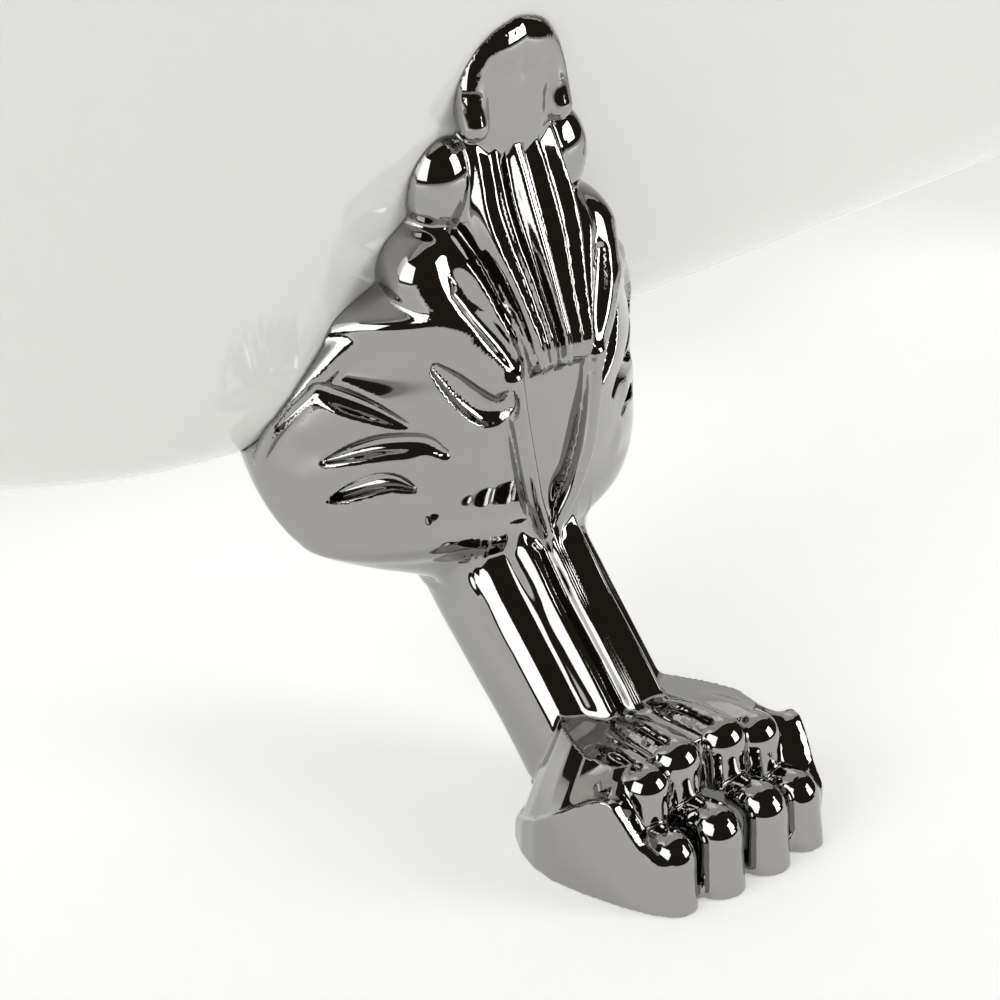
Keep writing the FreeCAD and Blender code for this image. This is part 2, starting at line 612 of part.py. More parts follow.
cup_middle = over.Base + outward * (cup_start + cup_depth / 2)
low_z = size("bottom_height") + size("skirt_wall") + size("hose_gap") + size("hose_radius")
pass_z = low_z + size("hose_pass_rise")
pass_y = (basin.reach(0, pass_z, size("acrylic_wall")) + skirt.reach(0, pass_z, -size("skirt_wall"))) / 2
hose_radius = size("hose_radius")
rising = (cup_middle - Vector(0, pass_y, pass_z)).normalize()
knee = Vector(0, pass_y, pass_z) - rising * ((pass_z - low_z) / rising.z)
bend_radius = size("hose_bend_radius")
bend = math.acos(rising.y)
bend_start = knee - Vector(0, bend_radius * math.tan(bend / 2), 0)
bend_end = knee + rising * (bend_radius * math.tan(bend / 2))
bend_centre = bend_start + Vector(0, 0, bend_radius)
bend_middle = bend_centre + (knee - bend_centre).normalize() * bend_radius
hose_first = Vector(0, size("waste_body_radius") + 1, low_z)
hose_last = cup_middle - rising * (size("overflow_body_radius") + 3)


def hose_solid(radius, first, last):
    """A round rod along the hose's run."""
    path = Part.Wire([Part.LineSegment(first, bend_start).toShape(),
                      Part.Arc(bend_start, bend_middle, bend_end).toShape(),
                      Part.LineSegment(bend_end, last).toShape()])
    circle = Part.Wire(Part.makeCircle(radius, first, Vector(0, 1, 0)))
    return path.makePipeShell([circle], True, False)


overflow_hose = feature("overflow_hose", hose_solid(hose_radius, hose_first, hose_last).cut(
    hose_solid(hose_radius - size("hose_wall"), hose_first, hose_last)))

nipple_length = size("overflow_body_radius") + size("spigot_length")
nipple = Part.makeCylinder(hose_radius - size("hose_wall") - size("thread_clearance"), nipple_length,
                           cup_middle, rising * -1)
nipple_bore = Part.makeCylinder(size("spigot_bore"), nipple_length, cup_middle, rising * -1)
cup_space = placed("cup_space", cup_hollow, over).Shape
overflow_body = feature("overflow_body", cup_placed.Shape.fuse(nipple.cut(cup_space)).cut(nipple_bore))


def hose_clip(start, direction):
    """A band clip round the hose, with its screw block."""
    width, outer = size("clip_width"), hose_radius + size("clip_thickness")
    strap = Part.makeCylinder(outer, width, start, direction)
    housing = Part.makeBox(6, 8, 4, Vector(-3, -4, 0))
    housing.Placement = Placement(start + direction * (width / 2) + Vector(outer - 0.6, 0, 0),
                                  Rotation(Vector(0, 0, 1), Vector(1, 0, 0)))
    return strap.fuse(housing).cut(Part.makeCylinder(hose_radius, width, start, direction))


clip_gap = 5
hose_clips = feature("hose_clips", Part.Compound([
    hose_clip(hose_first + Vector(0, clip_gap, 0), Vector(0, 1, 0)),
    hose_clip(hose_last - rising * clip_gap, rising * -1)]))

# ---------------------------------------------------------------- feet
# A foot is drawn with x out from the skirt to the toes, which end at 0, y across it and z up.

DEEP, WIDE, TALL = (size("foot_depth") / 178, size("paw_width") / 76, size("crest_height") / 274)


def spot(x, y, z):
    """A point of the foot, scaled to its sizes."""
    return Vector(x * DEEP, y * WIDE, z * TALL)


def mass(rows, corner=ROUND):
    """A limb through level sections, each given as (height, middle, half depth, half width)."""
    return limb([spot(x, 0, z) for z, x, deep, wide in rows],
                [spot(0, wide, 0) for z, x, deep, wide in rows],
                [spot(deep, 0, 0) for z, x, deep, wide in rows], corner)


def strand(*points):
    """A round limb through some points, each given as (x, y, z, radius)."""
    middles = [spot(x, y, z) for x, y, z, radius in points]
    across, along = [], []
    for number, (x, y, z, radius) in enumerate(points):
        ahead = middles[min(number + 1, len(points) - 1)] - middles[max(number - 1, 0)]
        ahead.normalize()
        side = Vector(0, 1, 0) - ahead * ahead.y
        side.normalize()
        across.append(side * (radius * WIDE))
        along.append(ahead.cross(side) * (radius * WIDE))
    return limb(middles, across, along)


def ball(x, y, z, radius):
    """A round knob."""
    return Part.makeSphere(radius * WIDE, spot(x, y, z))


TRUNK = [(25, -56, 36, 30), (45, -74, 38, 30), (60, -97, 31, 30), (75, -115, 31, 36), (90, -132, 34, 52),
         (105, -146, 41, 69), (120, -157, 51, 80), (135, -163, 58, 83), (150, -160, 57, 78),
         (165, -156, 54, 66), (180, -153, 46, 53), (200, -149, 34, 39), (220, -143, 20, 31),
         (235, -138, 11, 20), (252, -134, 8, 17), (266, -130.5, 6, 14), (274, -128, 3, 7)]
PAW = [(0, -40.5, 35, 38), (9, -41, 34.5, 37.7), (18, -43, 32, 36), (28, -47, 28, 33), (37, -53, 25, 30),
       (44, -59, 20, 25), (48, -63, 12, 17)]
INNER_TOE = [(-56, 9, 40, 8), (-44, 9.5, 40, 9.5), (-31, 10, 36.5, 10.5), (-19, 10.3, 28, 11),
             (-12.3, 10.5, 15, 11.2), (-11, 10.5, 0, 11)]
OUTER_TOE = [(-62, 25, 32, 8), (-50, 26.5, 33, 9), (-37, 28, 30.5, 9.8), (-25, 28.5, 22.5, 9.8),
             (-19, 28.5, 11, 9.6), (-18, 28.5, 0, 9.5)]
TENDONS = [[(-114, 13, 93, 4), (-96, 13.5, 77, 7), (-78, 13.5, 60, 7.2), (-58, 12, 45, 7)],
           [(-128, 28, 82, 5), (-108, 26, 68, 8), (-88, 26, 52, 8.5), (-66, 26, 38, 8)]]
RIDGE = [(-126, 33, 206, 9), (-121, 26, 186, 11.5), (-113, 17, 170, 10), (-106, 9, 150, 8),
         (-105, 5, 128, 6.5), (-108, 1, 100, 4.5)]
FINGER = [(-132, 16, 224, 5), (-130, 14, 236, 5), (-127, 12.5, 250, 5.5), (-125, 10, 262, 5.5)]
RIB = [(-126, 0, 226, 4), (-116, 0, 205, 5), (-108, 0, 184, 4.5), (-102, 0, 166, 4)]
CREST = (-127.5, 0, 266, 7)
WING = [(-128, 43, 178, 7), (-136, 56, 168, 7), (-148, 71, 153, 6.5), (-156, 80, 136, 6),
        (-153, 80, 118, 5), (-146, 73, 101, 4)]


def mirrored(points):
    """The same limb on the foot's other side."""
    return [(x, -y, z, radius) for x, y, z, radius in points]


def foot_casting():
    """One foot, before it is cut to the skirt and the floor."""
    parts = [mass(PAW, SQUARISH)]
    for points in [INNER_TOE, OUTER_TOE, RIDGE, FINGER, WING, *TENDONS]:
        parts += [strand(*points), strand(*mirrored(points))]
    for side in (-1, 1):
        parts.append(ball(-133, side * 30, 221, 10.5))
        parts.append(ball(-134, side * 33, 199, 13.5))
    parts.append(strand(*RIB))
    parts.append(strand((-116, 0, 96, 3.5), (-98, 0, 78, 5.5), (-80, 0, 62, 6), (-60, 0, 47, 6)))
    parts.append(ball(*CREST))
    lug = Part.makeBox(size("lug_reach") - 150, size("lug_width"), size("lug_thickness"),
                       Vector(-size("lug_reach"), -size("lug_width") / 2,
                              size("bottom_height") - size("foot_clearance") - size("lug_thickness")))
    edges = [edge for edge in lug.Edges
             if edge.BoundBox.XMax < 1 - size("lug_reach") and edge.BoundBox.ZLength > 1]
    lug = lug.makeFillet(12, edges)
    return mass(TRUNK).fuse(parts + [lug])


# the casting is open at the back, under the bath
CORE = [(40, -84, 30, 17), (50, -96, 34, 21), (62, -112, 33, 21), (75, -128, 34, 25), (90, -145, 36, 40),
        (103, -162, 45, 56)]

YAW = math.radians(size("foot_yaw"))
foot_place = Placement(Vector(-(size("foot_spacing") / 2 + size("foot_depth") * math.sin(YAW)),
                              size("toe_inset") - size("tub_width") / 2, 0),
                       Rotation(Vector(0, 0, 1), -90 - size("foot_yaw")))
floor_gap = size("pad_thickness") - size("pad_recess")


def foot_cuts():
    """What is taken off a foot in its own frame: the floor, the pad's recess, the core and the bolt holes."""
    centre = Vector(-size("pad_centre"), 0, 0)
    pad_outer, pad_inner = size("pad_radius") + 0.1, size("pad_radius") - size("pad_wall") - 0.1
    recess = Part.makeCylinder(pad_outer, size("pad_thickness"), centre)
    recess = recess.cut(Part.makeCylinder(pad_inner, size("pad_thickness"), centre))
    reach = 2 * size("foot_depth")
    cuts = [Part.makeBox(2 * reach, 2 * reach, reach + floor_gap, Vector(-reach, -reach, -reach)), recess,
            Part.makeCylinder(size("pocket_radius"), size("pocket_depth"), centre), mass(CORE)]
    for end in (-1, 1):
        cuts.append(Part.makeCylinder(size("bolt_radius") + size("bolt_clearance"), 40,
                                      Vector(-size("bolt_inset"), end * size("bolt_spacing") / 2, 90)))
    return cuts


foot_shape = foot_casting().cut(foot_cuts())
foot_shape.Placement = foot_place
foot_shape = kept(foot_shape.cut(skirt.solid(size("foot_clearance"))))
foot_front_left = feature("foot_front_left", foot_shape)
foot_front_right = feature("foot_front_right", foot_shape.mirror(Vector(0, 0, 0), Vector(1, 0, 0)))
foot_back_left = feature("foot_back_left", foot_shape.mirror(Vector(0, 0, 0), Vector(0, 1, 0)))
foot_back_right = feature("foot_back_right", foot_front_right.Shape.mirror(Vector(0, 0, 0), Vector(0, 1, 0)))

pads = []
for left in (-1, 1):
    for front in (-1, 1):
        pads.append(ring(f"pad_{len(pads) + 1}", "pad_radius", "pad_radius - pad_wall", "pad_thickness",
                         x=f"{left} * (foot_spacing / 2 + (foot_depth - pad_centre) * sin(foot_yaw))",
                         y=f"{front} * ({TOE_REACH} - pad_centre * cos(foot_yaw))"))
foot_pads = fuse("foot_pads", *pads)

# ---------------------------------------------------------------- export

NODES = [
    "inner_basin", "outer_shell", "rim_bead", "base_board", "anchor_blocks", "anchor_plates",
    "foot_front_left", "foot_front_right", "foot_back_left", "foot_back_right", "foot_pads",
    "foot_bolts", "foot_washers", "drain_flange", "drain_gasket", "drain_body", "drain_seal",
    "drain_nut", "drain_tailpiece", "stopper_cap", "stopper_seal", "stopper_stem", "stopper_retainer",
    "overflow_cover", "overflow_gasket", "overflow_screw", "overflow_body", "overflow_hose", "hose_clips",
]

doc.recompute()
for thing in doc.Objects:
    if "Invalid" in thing.State or "Error" in thing.State:
        raise RuntimeError(f"{thing.Name} did not compute: {thing.State}")
os.makedirs("parts", exist_ok=True)
for name in NODES:
    shape = doc.getObject(name).Shape
    if shape.isNull() or not shape.isValid():
        raise RuntimeError(f"{name} has no valid shape")
    shape.exportStep(f"parts/{name}.step")
    print(name, shape.ShapeType, len(shape.Solids), round(shape.Volume / 1000, 1))
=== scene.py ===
"""The look of a free-standing bath on cast lion-paw feet, seen close to one foot."""

import json
import math

import bpy
import numpy as np
from mathutils import Matrix, Vector


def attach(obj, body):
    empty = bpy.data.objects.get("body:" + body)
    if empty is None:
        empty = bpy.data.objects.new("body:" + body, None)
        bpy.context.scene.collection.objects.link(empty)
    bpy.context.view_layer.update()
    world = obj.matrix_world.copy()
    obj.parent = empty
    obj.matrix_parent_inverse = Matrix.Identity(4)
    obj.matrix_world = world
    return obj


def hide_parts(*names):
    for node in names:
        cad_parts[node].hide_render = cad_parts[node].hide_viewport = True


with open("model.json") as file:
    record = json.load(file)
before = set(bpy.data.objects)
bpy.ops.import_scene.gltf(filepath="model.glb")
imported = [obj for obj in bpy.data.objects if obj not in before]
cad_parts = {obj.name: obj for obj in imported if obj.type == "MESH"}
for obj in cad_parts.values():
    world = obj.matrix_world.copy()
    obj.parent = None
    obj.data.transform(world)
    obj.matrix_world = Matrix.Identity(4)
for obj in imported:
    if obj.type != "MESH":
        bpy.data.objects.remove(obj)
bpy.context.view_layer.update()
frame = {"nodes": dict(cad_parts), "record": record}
NODES = frame["nodes"]
MM = 0.001

# ---------------------------------------------------------------- sizes, in millimetres

FOOT_SPACING, FOOT_YAW, FOOT_DEPTH = 720, 4.4, 178
TOE_LINE = 361.5            # from the bath's middle to the line of the toes
PAW_FRONT = -9              # front of the paw's block, behind the toes
BOTTOM = 119                # height of the bath's flat bottom
LUG_TOP = BOTTOM - 0.3
LUG_HALF, LUG_ROUNDING = (52, 35, 5.5), 3
FLOOR_GAP = 0.5             # the metal stays this far off the floor, on its pad
PAD_MIDDLE, BELOW_PAW = -42, -3
PAD_SEAT_TOP, PAD_SEAT_RADIUS, PAD_SEAT_INNER = 3, 26.1, 19.9
POCKET_TOP, POCKET_RADIUS = 24, 19
BOLT_INSET, BOLT_SPACING, BOLT_SPAN, BOLT_HOLE = 236, 36, (90, 130), 4.5

# The grid that the foot is shaped on, and the distance at places that no form has reached.
GRID_LOW, GRID_HIGH, GRID_STEP = (-258, -92, -2), (4, 92, 280), 1.0
FAR = 60.0

# ---------------------------------------------------------------- shapes that are worked like clay


def blended(a, b, width):
    """The lower of two distances, with a round change from one to the other."""
    near = np.clip(1 - np.abs(a - b) / width, 0, None)
    return np.minimum(a, b) - near ** 3 * (width / 6)


def smooth_run(points, step=1.2):
    """A smooth run of balls (x, y, z, radius) through the given ones."""
    points = np.array(points, float)
    padded = np.vstack([2 * points[0] - points[1], points, 2 * points[-1] - points[-2]])
    run = []
    for a, b, c, d in zip(padded, padded[1:], padded[2:], padded[3:]):
        count = max(int(np.linalg.norm((c - b)[:3]) / step), 1)
        for t in np.arange(count) / count:
            bend = t * (2 * a - 5 * b + 4 * c - d + t * (3 * (b - c) + d - a))
            run.append(b + 0.5 * t * (c - a + bend))
    return np.array(run + [points[-1]])


def evened(table, count, times=1):
    """A running mean over count values, taken so many times, with the ends kept."""
    mean, table = np.ones(count) / count, np.pad(table, count, "edge")
    for _ in range(times):
        table = np.convolve(table, mean, "same")
    return table[count:-count]


class Shape:
    """A form that is added to the clay or, where carve is true, taken from it.

    A form is drawn for the side where y is above nought, and is the same on the other side,
    unless it is one-sided. It is worked only between its low and high corners.
    """

    one_sided = False
    margin = 3

    def __init__(self, blend, carve, low, high):
        self.blend, self.carve = blend, carve
        self.low = np.array(low, float) - blend - self.margin
        self.high = np.array(high, float) + blend + self.margin

    def apply(self, field, x, y, z):
        distance = self.distance(x, y, z)
        if self.carve:
            return -blended(-field, distance, self.blend)
        return blended(field, distance, self.blend)


class Stroke(Shape):
    """A run of balls, each given as (x, y, z, radius)."""

    def __init__(self, points, blend=3, carve=False):
        self.run = smooth_run(points)
        middles, radius = self.run[:, :3], self.run[:, 3].max()
        super().__init__(blend, carve, middles.min(0) - radius, middles.max(0) + radius)

    def distance(self, x, y, z):
        nearest = None
        for (ax, ay, az, a_radius), (bx, by, bz, b_radius) in zip(self.run, self.run[1:]):
            dx, dy, dz = bx - ax, by - ay, bz - az
            length = max(dx * dx + dy * dy + dz * dz, 1e-9)
            t = np.clip(((x - ax) * dx + (y - ay) * dy + (z - az) * dz) / length, 0, 1)
            away = np.sqrt((x - ax - t * dx) ** 2 + (y - ay - t * dy) ** 2
                           + (z - az - t * dz) ** 2)
            away = away - (a_radius + t * (b_radius - a_radius))
            nearest = away if nearest is None else np.minimum(nearest, away)
        return nearest


class Blob(Shape):
    """An ellipsoid."""

    def __init__(self, centre, radii, blend=3, carve=False):
        self.centre, self.radii = np.array(centre, float), np.array(radii, float)
        super().__init__(blend, carve, self.centre - self.radii, self.centre + self.radii)

    def distance(self, x, y, z):
        scaled = [(v - c) / r for v, c, r in zip((x, y, z), self.centre, self.radii)]
        size = np.sqrt(sum(v ** 2 for v in scaled))
        steep = np.sqrt(sum((v / r) ** 2 for v, r in zip(scaled, self.radii)))
        return size * (size - 1) / np.maximum(steep, 1e-6)


class Levels:
    """Values on a smooth curve through rows of (height, value, value, ...)."""

    def __init__(self, rows):
        rows = np.array(rows, float)
        self.heights, self.values = rows[:, 0], rows[:, 1:]
        gaps = np.diff(self.heights)[:, None]
        slopes = np.diff(self.values, axis=0) / gaps
        inner = (slopes[:-1] * gaps[1:] + slopes[1:] * gaps[:-1]) / (gaps[:-1] + gaps[1:])
        self.slopes = np.vstack([2 * slopes[:1] - inner[:1], inner, 2 * slopes[-1:] - inner[-1:]])

    def at(self, z):
        z = np.clip(np.asarray(z, float), self.heights[0], self.heights[-1])
        row = np.clip(np.searchsorted(self.heights, z, side="right") - 1, 0, len(self.heights) - 2)
        gap = (self.heights[row + 1] - self.heights[row])[..., None]
        t = (z - self.heights[row])[..., None] / gap
        a, b = self.values[row], self.values[row + 1]
        rise = ((t ** 3 - 2 * t ** 2 + t) * self.slopes[row]
                + (t ** 3 - t ** 2) * self.slopes[row + 1])
        value = a + (3 * t ** 2 - 2 * t ** 3) * (b - a) + rise * gap
        return [value[..., i] for i in range(value.shape[-1])]


class Mass(Shape):
    """A body through level sections.

    Each section is (height, middle, half depth, half width, power).
    """

    end_blend = 3

    def __init__(self, rows, blend=3, carve=False):
        self.levels = Levels(rows)
        middle, deep, wide, _ = self.levels.values.T
        self.bottom, self.top = self.levels.heights[0], self.levels.heights[-1]
        super().__init__(blend, carve, ((middle - deep).min(), -wide.max(), self.bottom),
                         ((middle + deep).max(), wide.max(), self.top))

    def distance(self, x, y, z):
        middle, deep, wide, power = self.levels.at(z)
        u, v = np.abs(x - middle) / deep, np.abs(y) / wide
        size = np.maximum((u ** power + v ** power) ** (1 / power), 1e-6)
        steep = np.hypot((u / size) ** (power - 1) / deep, (v / size) ** (power - 1) / wide)
        side = (size - 1) / np.maximum(steep, 1 / np.maximum(deep, wide))
        ends = np.maximum(self.bottom - z, z - self.top) + 0 * side
        return -blended(-side, -ends, self.end_blend)


class Front(Shape):
    """A body whose front keeps one section from top to bottom, as flutes and tendons do.

    The section is (across, behind the crest). Each row is (height, crest, spread, depth): how far
    out the crest is, and how much the section is stretched across and behind.
    """

    fine, rounding, end_blend = 0.1, 9, 2
    before, beyond = 4, 2       # how far the section's table goes past its ends

    def __init__(self, rows, section, thick, blend=2):
        self.levels = Levels(rows)
        across, behind = np.array(section, float).T
        crest, spread, _ = self.levels.values.T
        self.reach, self.thick = across[-1], thick
        self.across = np.arange(-self.before, self.reach + self.beyond, self.fine)
        table = np.interp(np.abs(self.across), across, behind)
        self.behind = evened(table, self.rounding, times=2)
        self.lean = np.gradient(self.behind, self.fine)
        self.bottom, self.top = self.levels.heights[0], self.levels.heights[-1]
        wide = self.reach * spread.max()
        super().__init__(blend, False, (crest.min() - thick, -wide, self.bottom),
                         (crest.max(), wide, self.top))

    def distance(self, x, y, z):
        crest, spread, depth = self.levels.at(z)
        rise = (self.levels.at(z + 1)[0] - self.levels.at(z - 1)[0]) / 2
        q = np.abs(y) / spread
        behind = depth * np.interp(q, self.across, self.behind)
        lean = depth / spread * np.interp(q, self.across, self.lean)
        side = (x - crest + behind) / np.sqrt(1 + lean ** 2 + rise ** 2)
        ends = np.maximum(np.maximum(self.bottom - z, z - self.top), (q - self.reach) * spread)
        return -blended(-side, -np.maximum(ends, crest - self.thick - x), self.end_blend)


class Slab(Shape):
    """A box with round edges."""

    def __init__(self, centre, half, radius, blend=3, carve=False):
        self.centre, self.half, self.radius = np.array(centre, float), np.array(half, float), radius
        super().__init__(blend, carve, self.centre - self.half, self.centre + self.half)

    def distance(self, x, y, z):
        past = [np.abs(v - c) - h + self.radius
                for v, c, h in zip((x, y, z), self.centre, self.half)]
        outside = np.sqrt(sum(np.maximum(v, 0) ** 2 for v in past))
        inside = np.minimum(np.maximum(np.maximum(past[0], past[1]), past[2]), 0)
        return outside + inside - self.radius


class Drum(Shape):
    """An upright cylinder or ring that is carved."""

    def __init__(self, x, y, low, high, radius, inner=-1e3):
        self.x, self.y, self.bottom, self.top = x, y, low, high
        self.radius, self.inner = radius, inner
        super().__init__(0.5, True, (x - radius, y - radius, low), (x + radius, y + radius, high))

    def distance(self, x, y, z):
        away = np.hypot(x - self.x, y - self.y)
        side = np.maximum(away - self.radius, self.inner - away)
        return np.maximum(side, np.maximum(self.bottom - z, z - self.top))


class Paw(Shape):
    """The paw's block: upright sides up to a ledge, and steep flanks from there to the toes.

    plan gives half widths, ledge the heights where the sides end, and flank the steepness above,
    each by x.
    """

    plan = [(-92, 12), (-87, 30), (-80, 40), (-70, 46), (-60, 49.5), (-50, 50.5), (-37, 48.5),
            (-22, 44.5), (-12, 40.5), (-7, 38)]
    ledge = [(-92, 4), (-80, 8), (-71, 13), (-62, 18), (-55, 23), (-46, 29.5), (-38, 35),
             (-33, 38), (-28, 38), (-23, 32), (-18, 25), (-12, 21), (-6, 19)]
    flank = [(-92, 2), (-70, 2), (-50, 1.5), (-38, 0.7), (-32, 0), (-26, -1), (-6, -1)]
    shelf, top = 3.5, 43
    fine, rounding = 0.25, 13
    corner, edge = 5, 1.6       # blends of the sides with the front, and with the top
    softer = 0.9                # keeps the steep flanks' distances on the low side

    def __init__(self, front, blend):
        self.front = front
        self.along = np.arange(-100, 6, self.fine)
        self.tables = [evened(np.interp(self.along, *np.array(table, float).T), self.rounding)
                       for table in (self.plan, self.ledge, self.flank)]
        super().__init__(blend, False, (-96, -54, -4), (0, 54, 48))

    def distance(self, x, y, z):
        wide, ledge, flank = [np.interp(x, self.along, table) for table in self.tables]
        turn = np.interp(x, self.along, np.gradient(self.tables[0], self.fine))
        side = (np.abs(y) - wide) / np.sqrt(1 + turn ** 2)
        inward = np.maximum(wide - np.abs(y) - self.shelf, 0)
        top = (z - ledge - flank * inward) / np.sqrt(1 + flank ** 2) * self.softer
        front = x - self.front + 0 * side
        walls = blended(-side, -front, self.corner)
        return -blended(walls, -np.maximum(top, z - self.top), self.edge)


class Ground(Shape):
    """All that lies under the foot."""

    def __init__(self, height):
        self.height = height
        super().__init__(0.6, True, (-300, -200, -60), (60, 200, height + 3))

    def distance(self, x, y, z):
        return z - self.height + 0 * x + 0 * y


class Bath(Shape):
    """The bath's outer skirt, which the foot is cut to."""

    one_sided = True
    straight, turn, wall_top, clear = 430, 55, 572, 0.3
    side = (156, 13, 330)        # flat half width, angle, half width at the top
    end = (122, 28, 385)

    def __init__(self):
        super().__init__(0.6, True, (-400, -200, 100), (20, 200, 400))

    def reach(self, z, flat, angle, top):
        angle = math.radians(angle)
        corner = BOTTOM + self.turn * (1 - math.sin(angle))
        up = np.clip(BOTTOM + self.turn - z, -self.turn, self.turn)
        arc = flat + np.sqrt(self.turn ** 2 - up ** 2)
        start, run = flat + self.turn * math.cos(angle), self.wall_top - corner
        rise = np.maximum(z - corner, 0)
        lean = math.tan(angle)
        wall = start + lean * rise + (top - start - lean * run) * (rise / run) ** 2
        return np.where(z <= corner, arc, wall)

    def distance(self, x, y, z):
        sine, cosine = math.sin(math.radians(FOOT_YAW)), math.cos(math.radians(FOOT_YAW))
        along = -(FOOT_SPACING / 2 + FOOT_DEPTH * sine) - x * sine + y * cosine
        across = -TOE_LINE - x * cosine - y * sine
        z = z + 0 * along
        half_width, end_reach = self.reach(z, *self.side), self.reach(z, *self.end)
        past = np.clip((np.abs(along) - self.straight) / end_reach, 0, 0.999)
        side = np.abs(across) - half_width * np.sqrt(1 - past ** 2)
        side = side * math.cos(math.radians(self.side[1]))
        return np.maximum(side, BOTTOM - z) - self.clear


def worked(shapes, axes, field):
    """The grid's distances once the shapes are added and carved, one after another."""
    for shape in shapes:
        part = tuple(slice(*np.searchsorted(axis, (a, b)))
                     for axis, a, b in zip(axes, shape.low, shape.high))
        x, y, z = np.ix_(*(axis[run] for axis, run in zip(axes, part)))
        if x.size and y.size and z.size:
            field[part] = shape.apply(field[part], x, y, z)
    return field


def on_grid(shapes, low, high, step):
    """The clay's distances on a grid of points: one half, its mirror, and the one-sided forms."""
    axes = [np.arange(a, b + step / 2, step) for a, b in zip(low, high)]
    half = [axes[0], axes[1][len(axes[1]) // 2:], axes[2]]
    field = np.full([len(axis) for axis in half], FAR)
    field = worked([shape for shape in shapes if not shape.one_sided], half, field)
    whole = np.concatenate([field[:, :0:-1], field], axis=1)
    return axes, worked([shape for shape in shapes if shape.one_sided], axes, whole)


def at_points(shapes, points):
    """The clay's distances at loose points."""
    field = np.full(len(points), FAR)
    folded = points * (1, 0, 1) + np.abs(points) * (0, 1, 0)
    for shape in shapes:
        places = points if shape.one_sided else folded
        near = np.all((places > shape.low) & (places < shape.high), axis=1)
        if near.any():
            field[near] = shape.apply(field[near], *places[near].T)
    return field


def skin(axes, field):
    """Points and four-sided faces where the distance is nought: a point in each crossed cell."""
    inside = field < 0
    shape = np.array(field.shape) - 1
    corners = [np.array((i, j, k)) for i in (0, 1) for j in (0, 1) for k in (0, 1)]
    filled = sum(inside[i:shape[0] + i, j:shape[1] + j, k:shape[2] + k].astype(int)
                 for i, j, k in corners)
    cells = np.argwhere((filled > 0) & (filled < 8))
    index = np.full(shape, -1)
    index[tuple(cells.T)] = np.arange(len(cells))
    total, count = np.zeros((len(cells), 3)), np.zeros(len(cells))
    for a in corners:
        for b in corners:
            if (b - a).sum() != 1 or np.abs(b - a).sum() != 1:
                continue
            here, there = field[tuple((cells + a).T)], field[tuple((cells + b).T)]
            crossed = (here < 0) != (there < 0)
            t = np.where(crossed, here / np.where(crossed, here - there, 1), 0)
            total += np.where(crossed[:, None], a + t[:, None] * (b - a), 0)
            count += crossed
    step = axes[0][1] - axes[0][0]
    points = np.array([axis[0] for axis in axes]) + (cells + total / count[:, None]) * step
    faces = []
    for axis in range(3):
        u, v = (axis + 1) % 3, (axis + 2) % 3
        crossed = np.argwhere(np.diff(inside, axis=axis))
        crossed = crossed[(crossed[:, u] > 0) & (crossed[:, v] > 0)
                          & (crossed[:, u] < shape[u]) & (crossed[:, v] < shape[v])]
        du, dv = np.eye(3, dtype=int)[u], np.eye(3, dtype=int)[v]
        around = (du + dv, dv, 0 * du, du)
        face = np.stack([index[tuple((crossed - shift).T)] for shift in around], 1)
        outward = ~inside[tuple(crossed.T)]
        face[outward] = face[outward][:, ::-1]
        faces.append(face)
    return points, np.vstack(faces)


def slopes(shapes, points, reach=0.25):
    """Which way the distance grows at each point, and how fast."""
    grown = np.empty_like(points)
    for axis in range(3):
        shift = np.eye(3)[axis] * reach
        ahead, back = at_points(shapes, points + shift), at_points(shapes, points - shift)
        grown[:, axis] = (ahead - back) / (2 * reach)
    return grown


def settled(shapes, points, rounds=3, most=0.8):
    """The points moved on to the surface, and the directions that it faces there."""
    for _ in range(rounds):
        grown = slopes(shapes, points)
        steep = np.maximum(np.linalg.norm(grown, axis=1), 0.2)
        move = np.clip(at_points(shapes, points) / steep, -most, most)
        points = points - (move / steep)[:, None] * grown
    grown = slopes(shapes, points)
    return points, grown / np.maximum(np.linalg.norm(grown, axis=1), 1e-9)[:, None]


# ---------------------------------------------------------------- the foot's forms
# x runs out from the bath to the toes, which end at 0; y runs across and z up.

# Level sections for Mass.
BELLY = [(76, -137, 17, 26, 1.8), (84, -142, 26, 50, 1.7), (89, -145, 33, 62, 1.6),
         (93, -148, 40, 70, 1.6), (99, -150.5, 44, 76, 1.6), (105, -153, 45.5, 80, 1.6),
         (120, -161, 56, 84, 1.6), (135, -165, 61.5, 83.5, 1.6), (150, -160, 57, 77, 1.7),
         (162, -158, 54, 72.6, 1.7), (172, -157, 51.5, 70.8, 1.75), (180, -156, 45.5, 63.5, 2.2),
         (184, -155, 39, 57, 2.1), (188, -153, 34, 48, 2), (198, -148, 27, 36, 1.9),
         (210, -146, 17, 28, 1.8)]
LEG = [(14, -72, 26, 27.5, 3), (30, -85, 27, 28, 3), (45, -99.5, 28, 28.5, 3),
       (60, -114, 28.5, 29, 3), (75, -128, 29, 30, 2.8), (86, -139, 29, 34, 2.5),
       (97, -148, 30, 40, 2.2)]
CREST = [(188, -150, 36, 26, 2.6), (205, -143, 22, 24, 2.6), (220, -141, 13, 22, 2.6),
         (228, -140, 14.5, 20, 3), (236, -139.5, 16.2, 19, 3.6), (244, -139, 16.2, 18, 4),
         (252, -138.5, 16, 17, 4), (258, -138.5, 14, 15, 3)]
OPEN_BACK = [(40, -88, 26, 17, 2), (50, -100, 28, 19, 2), (62, -114, 28, 19, 2),
             (75, -130, 30, 23, 2), (90, -150, 32, 36, 2), (103, -166, 42, 54, 2)]

